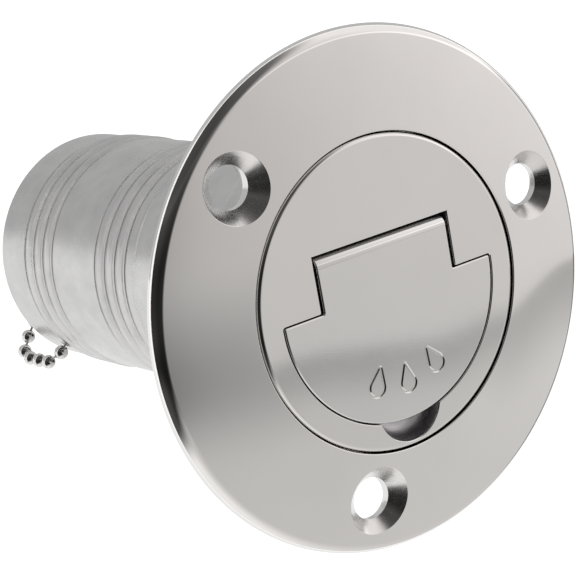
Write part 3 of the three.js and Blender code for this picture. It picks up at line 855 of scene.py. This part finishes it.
# ---------------------------------------------------------------- swivel
rv = Profile()
rv.line((0, -0.2), (1.3, -0.2), (1.45, -0.35))
rv.curve([(1.45, -0.35), (1.45, -2.5), (1.45, -4.6)])
rv.line((1.45, -4.6), (2.75, -4.6))
rv.arc(2.75, -4.75, 0.15, 90, 0, 3)
rv.curve([(2.9, -4.75), (2.88, -5.0), (2.7, -5.3), (2.3, -5.62), (1.7, -5.86), (0.9, -6.01), (0, -6.05)])
rv = rv.finish()
rivet = lathe("rivet_post", rv, 64)
set_normals(rivet, rv.segs)
dress(rivet, MAT_PIN, "cap", "pin_steel", "swivel_rivet")

CH = rz(CHAIN_AZ)
ey = Profile()
ey.line((1.8, -3.4), (1.9, -3.3), (4.45, -3.3))
ey.arc(4.45, -3.45, 0.15, 90, 0, 3)
ey.line((4.6, -3.45), (4.6, -3.95))
ey.arc(4.45, -3.95, 0.15, 0, -90, 3)
ey.line((4.45, -4.1), (1.9, -4.1), (1.8, -4.0), (1.8, -3.4))
eye = lathe("eye_washer", ey.finish(), 72)
# the ear: a strip bent down with a rounded end
zt, zb = -3.3, -9.6
hw = 1.5
ear_out = [(-hw, zt), (-hw, zb + 1.3)] + [(hw * math.cos(rad(a)), zb + 1.3 + 1.3 * math.sin(rad(a))) for a in range(190, 351, 10)] + [(hw, zb + 1.3), (hw, zt)]
ear = stack("ear", np.array(ear_out, float), round_layers(-0.4, 0.4, 0.12, 0.12, 3))
transform(ear, Matrix.Translation((4.0, 0, 0)) @ Matrix(((0, 0, 1, 0), (1, 0, 0, 0), (0, 1, 0, 0), (0, 0, 0, 1))))
boolean(eye, ear, "UNION")
hole = lathe("cut", Profile().line((0, -3), (0.8, -3), (0.8, 3), (0, 3)).finish(), 32)
transform(hole, Matrix.Translation((4.0, 0, -8.2)) @ Matrix.Rotation(rad(90), 4, "Y"))
boolean(eye, hole)
tidy(eye)
set_normals(eye, None, 30)
transform(eye, CH)
dress(eye, MAT_CHAIN, "tether", "chain_steel", "swivel_eye")

t = np.linspace(0, 2 * math.pi, 56, endpoint=False)
coupling = tube("coupling_body", [(4.0 + 1.55 * math.cos(a), 0, RING_Z + 1.55 * math.sin(a)) for a in t], 0.42, 18, True)
cu = Profile()
cu.line((0, -1.45), (0.7, -1.45))
cu.curve([(0.7, -1.45), (1.15, -1.55), (1.55, -1.85), (1.8, -2.3), (1.9, -2.8)])
cu.curve([(1.9, -2.8), (1.9, -4.0), (1.9, -5.2)])
cu.line((1.9, -5.2), (1.78, -5.4), (1.62, -5.4), (1.52, -5.2), (1.55, -5.0))
cu.curve([(1.55, -5.0), (1.55, -4), (1.55, -3.1)])
cu.line((1.55, -3.1), (1.35, -2.9), (0, -2.9))
cup = lathe("cup", cu.finish(), 56)
transform(cup, Matrix.Translation((4.0, 0, RING_Z)) @ Matrix.Rotation(-SLOPE, 4, "Y"))
boolean(coupling, cup, "UNION")
tidy(coupling)
set_normals(coupling, None, 34)
transform(coupling, CH)
dress(coupling, MAT_CHAIN, "tether", "chain_steel", "chain_coupling")


# ---------------------------------------------------------------- bead chain
def bead_template():
    """A hollow pressed ball: round, with a small rolled hole at each pole and its seam."""
    hole_a = 21
    p = Profile()
    p.line((0, -0.62), (0.3, -0.62), (0.33, -0.85))
    p.curve([(0.33, -0.85), (0.335, -1.0), (0.36, -1.075), (BEAD_R * math.sin(rad(hole_a)) - 0.02, -BEAD_R * math.cos(rad(hole_a)) - 0.005)])
    p.arc(0, 0, BEAD_R, -90 + hole_a, 90 - hole_a, 30)
    p.curve([(BEAD_R * math.sin(rad(hole_a)), BEAD_R * math.cos(rad(hole_a))), (0.36, 1.075), (0.335, 1.0), (0.33, 0.85)])
    p.line((0.33, 0.85), (0.3, 0.62), (0, 0.62))
    pts = p.finish()
    ob = lathe("bead_template", pts, 40)
    # seam: a hairline slot along one side
    s = new_object("cut", [(x, y, z) for x in (BEAD_R - 0.07, BEAD_R + 0.5) for y in (-0.035, 0.035) for z in (-1.3, 1.3)],
                   [(0, 1, 3, 2), (4, 6, 7, 5), (0, 4, 5, 1), (2, 3, 7, 6), (0, 2, 6, 4), (1, 5, 7, 3)])
    m = bmesh.new(); m.from_mesh(s.data); bmesh.ops.recalc_face_normals(m, faces=m.faces); m.to_mesh(s.data); m.free()
    boolean(ob, s)
    tidy(ob, 1e-4)
    return ob


TEMPLATE = bead_template()
TEMPLATE_MESH = TEMPLATE.data.copy()
bpy.data.objects.remove(TEMPLATE)


def add_bead(name, node, body, at, before, after, spin, reach=None):
    """One ball and its link wire, in the chain's plane; before and after are its neighbours' centres."""
    at, before = np.array(at, float), np.array(before, float)
    after = np.array(after, float) if after is not None else 2 * at - before
    axis = (before - at) / np.linalg.norm(before - at) - (after - at) / np.linalg.norm(after - at)
    axis /= max(np.linalg.norm(axis), 1e-6)
    z = Vector((axis[0], 0, axis[1]))
    turn = z.to_track_quat("Z", "Y").to_matrix().to_4x4()
    ob = bpy.data.objects.new(name, TEMPLATE_MESH.copy())
    bpy.context.scene.collection.objects.link(ob)
    transform(ob, Matrix.Translation((at[0], 0, at[1])) @ turn @ rz(spin))
    d = (before - at)
    L = np.linalg.norm(d)
    d /= L
    far = L - 0.72 if reach is None else reach
    ts = [0.5, 0.72, 0.95, 1.2, (1.2 + far) / 2, far - 0.25, far]
    rs = [0.3, LINK_R - 0.04, LINK_R - 0.06, LINK_R - 0.08, LINK_R - 0.08, LINK_R - 0.08, LINK_R - 0.06]
    path = [(at[0] + d[0] * s, 0, at[1] + d[1] * s) for s in ts]
    wire = tube("wire", path, rs, 14)
    boolean(ob, wire, "UNION")
    set_normals(ob, None, 34)
    transform(ob, CH)
    return dress(ob, MAT_CHAIN, body, "chain_steel", node)


spin = iter(range(17, 17 + 67 * 60, 67))
pts = [ANCHOR] + LOOP
add_bead("ball_anchor", "chain_bead_anchor", "plate", ANCHOR, (10, ANCHOR[1]), LOOP[0], next(spin), reach=ANCHOR[0] - NECK_IR - 0.35)
for i in range(len(LOOP) - 1):
    body = "plate" if i == 0 else "loop_%02d" % (i + 1)
    # a link that bends stops at its neighbour's skin, so it can't cut through the ball when the loop draws in
    short = math.dist(LOOP[i], pts[i]) - 1.22 if i > 0 else None
    add_bead("ball_loop_%02d" % (i + 1), "loop_bead_%02d" % (i + 1), body, LOOP[i], pts[i], LOOP[i + 1], next(spin), reach=short)
run_end = (4.0 + 4.3 * math.sin(SLOPE), RING_Z - 4.3 * math.cos(SLOPE))
start = LOOP[-1]
run = [(start[0] + (run_end[0] - start[0]) * i / (RUN_BEADS - 1), start[1] + (run_end[1] - start[1]) * i / (RUN_BEADS - 1)) for i in range(RUN_BEADS)]
for i, at in enumerate(run):
    before = LOOP[-2] if i == 0 else run[i - 1]
    after = run[i + 1] if i < RUN_BEADS - 1 else None
    add_bead("ball_run_%02d" % (i + 1), "run_bead_%02d" % (i + 1), "run_01" if i == 0 else "tether", at, before, after, next(spin),
             reach=math.dist(at, before) - 1.22 if i < 2 else None)

st = Profile()
st.line((0.64, 0.05), (0.7, 0), (1.42, 0), (1.5, 0.08))
st.curve([(1.5, 0.08), (1.47, 0.25), (1.35, 0.42), (1.15, 0.5), (0.9, 0.54)])
st.line((0.9, 0.54), (0.7, 0.55), (0.64, 0.5), (0.64, 0.05))
stop = lathe("stop_washer", st.finish(), 48)
set_normals(stop, None, 34)
transform(stop, rz(CHAIN_AZ) @ Matrix.Translation((NECK_IR + 0.75, 0, ANCHOR[1])) @ Matrix.Rotation(rad(-90), 4, "Y"))
dress(stop, MAT_CHAIN, "plate", "chain_steel", "chain_stop")

# ---------------------------------------------------------------- floor, light, camera
def emit(name, colour, strength):
    m = bpy.data.materials.new(name)
    m.use_nodes = True
    b = m.node_tree.nodes["Principled BSDF"]
    b.inputs["Base Color"].default_value = (*colour, 1)
    b.inputs["Roughness"].default_value = 0.9
    b.inputs["Emission Color"].default_value = (1, 1, 1, 1)
    b.inputs["Emission Strength"].default_value = strength
    return m


FLOOR_Z = -1.2
floor = new_object("floor", [(-8, -8, FLOOR_Z), (8, -8, FLOOR_Z), (8, 8, FLOOR_Z), (-8, 8, FLOOR_Z)], [(0, 1, 2, 3)])
floor.data.materials.append(emit("floor_pale", (0.9, 0.9, 0.9), 0.86))


def studio():
    """Soft light all round: a wide bright side towards +X, falling to a dark side behind the camera, with one soft seam."""
    w = bpy.data.worlds.new("studio")
    bpy.context.scene.world = w
    w.use_nodes = True
    t = w.node_tree
    t.nodes.clear()

    def put(sock, v):
        if isinstance(v, (int, float)):
            sock.default_value = v
        else:
            t.links.new(v, sock)

    def m(op, a, b=0.0, clamp=False):
        n = t.nodes.new("ShaderNodeMath")
        n.operation, n.use_clamp = op, clamp
        put(n.inputs[0], a)
        put(n.inputs[1], b)
        return n.outputs[0]

    def step(v, lo, hi, out_lo, out_hi):
        n = t.nodes.new("ShaderNodeMapRange")
        n.interpolation_type = "SMOOTHSTEP"
        for k, x in zip((0, 1, 2, 3, 4), (v, lo, hi, out_lo, out_hi)):
            put(n.inputs[k], x)
        return n.outputs[0]

    co = t.nodes.new("ShaderNodeTexCoord")
    sep = t.nodes.new("ShaderNodeSeparateXYZ")
    t.links.new(co.outputs["Generated"], sep.inputs[0])
    x, y, z = sep.outputs
    # brightness by direction: a gentle slope, one soft seam, a fall to dark behind the camera
    terms = [m("MULTIPLY", x, 0.3256), m("MULTIPLY", y, -0.1337), m("MULTIPLY", m("MULTIPLY", x, x), 0.0746),
             m("MULTIPLY", m("MULTIPLY", x, y), 0.6347), m("MULTIPLY", m("MULTIPLY", y, y), 0.4311)]
    level = 0.4483
    for q in terms:
        level = m("ADD", level, q)
    level = m("MINIMUM", m("MAXIMUM", level, 0.3), 0.98)
    level = m("MULTIPLY", level, m("ADD", 1.0, m("MULTIPLY", step(y, 0.31, 0.38, 0.0, 0.4), step(y, 0.40, 0.55, 1.0, 0.0))))
    centre = m("ADD", m("ADD", -0.3081, m("MULTIPLY", x, 0.1988)), step(x, 0.7843, 0.8843, 0.0, 0.0568))
    centre = m("ADD", centre, m("SUBTRACT", m("ADD", step(x, 0.45, 0.59, 0.0, 0.0535), step(x, 0.63, 0.655, 0.0, 0.008)), step(x, 0.68, 0.8, 0.0, 0.0555)))
    off = m("SUBTRACT", y, centre)
    reach = step(x, 0.36, 0.47, 0.2, 0.005)
    upper = step(off, 0.0, reach, 1.0, 0.0)
    lower = step(off, -0.145, 0.0, 0.0, 1.0)
    flat = m("MULTIPLY", step(x, 0.53, 0.58, 0.0, 1.0), step(x, 0.68, 0.74, 1.0, 0.0))
    lower = m("MULTIPLY", lower, m("SUBTRACT", 1.0, m("MULTIPLY", flat, step(off, -0.026, -0.003, 0.8, 0.0))))
    depth = m("ADD", m("ADD", 0.9182, m("MULTIPLY", x, -2.2005)), m("MULTIPLY", m("MULTIPLY", x, x), 1.7249))
    depth = m("ADD", m("MINIMUM", depth, 0.6), m("ADD", step(x, 0.7, 0.8, 0.0, 0.08), m("MULTIPLY", flat, 0.15)))
    seam = m("SUBTRACT", 1.0, m("MULTIPLY", m("MULTIPLY", upper, lower), depth))
    turned = m("ADD", x, m("MULTIPLY", 1.2, m("MAXIMUM", m("SUBTRACT", -0.3, y), 0.0)))
    # a darker line along the far horizon, which the rim's right edge picks up
    far = m("MULTIPLY", step(x, 0.86, 0.93, 0.0, 1.0), step(z, 0.16, 0.3, 0.62, 0.0))
    seam = m("MULTIPLY", seam, m("SUBTRACT", 1.0, far))
    side = step(turned, -0.06, 0.3, m("ADD", step(z, 0.3, 0.85, 0.085, 0.05), step(y, 0.0, 0.4, 0.0, 0.14)), 1.0)
    bright = m("MULTIPLY", m("MULTIPLY", level, seam), side)
    tint = t.nodes.new("ShaderNodeMix")
    tint.data_type = "RGBA"
    put(tint.inputs[0], step(y, -0.2, 0.1, 0.0, 1.0))
    tint.inputs[6].default_value = (1.02, 0.995, 0.985, 1)
    tint.inputs[7].default_value = (1.03, 0.989, 0.982, 1)
    soft = t.nodes.new("ShaderNodeBackground")
    t.links.new(tint.outputs[2], soft.inputs["Color"])
    put(soft.inputs["Strength"], bright)
    plain = t.nodes.new("ShaderNodeBackground")
    plain.inputs["Color"].default_value = (0.93, 0.93, 0.93, 1)
    plain.inputs["Strength"].default_value = 1.0
    path = t.nodes.new("ShaderNodeLightPath")
    mix = t.nodes.new("ShaderNodeMixShader")
    t.links.new(path.outputs["Is Camera Ray"], mix.inputs[0])
    t.links.new(soft.outputs[0], mix.inputs[1])
    t.links.new(plain.outputs[0], mix.inputs[2])
    out = t.nodes.new("ShaderNodeOutputWorld")
    t.links.new(mix.outputs[0], out.inputs[0])


studio()


def card(name, corners, level):
    """A grey flag that only shapes reflections."""
    ob = new_object(name, corners, [(0, 1, 2, 3)])
    mat = emit(name, (0, 0, 0), level)
    mat.node_tree.nodes["Principled BSDF"].inputs["Specular IOR Level"].default_value = 0
    ob.data.materials.append(mat)
    ob.visible_camera = ob.visible_diffuse = ob.visible_shadow = False
    return ob


card("flag_back", [(-0.7, 0.0, -0.30), (0.9, 0.03, -0.30), (0.9, 1.2, -0.30), (-0.7, 1.2, -0.30)], 0.55)
card("flag_low", [(-0.7, -1.2, -0.301), (0.9, -1.2, -0.301), (0.9, 0.03, -0.301), (-0.7, 0.0, -0.301)], 1.0)


CAM_R = np.array([[0.8169121, 0.0281084, 0.57607686], [-0.03769028, -0.99407518, 0.10195083], [0.57552938, -0.10499736, -0.81101263]])
CAM_T = np.array([14.50014247, 0.73693349, 297.28669919])
pos = -CAM_R.T @ CAM_T + np.array([0, 0, FACE_Z])
cam_data = bpy.data.cameras.new("camera")
cam = bpy.data.objects.new("camera", cam_data)
bpy.context.scene.collection.objects.link(cam)
cam_data.sensor_width = 36
cam_data.lens = 2104.8866 / 576 * 36
cam_data.clip_start = 0.01
cam_data.clip_end = 20
M = Matrix(((CAM_R[0][0], -CAM_R[1][0], -CAM_R[2][0], pos[0] * MM),
            (CAM_R[0][1], -CAM_R[1][1], -CAM_R[2][1], pos[1] * MM),
            (CAM_R[0][2], -CAM_R[1][2], -CAM_R[2][2], pos[2] * MM),
            (0, 0, 0, 1)))
cam.matrix_world = M
bpy.context.scene.camera = cam

bpy.context.scene.view_settings.view_transform = "Standard"
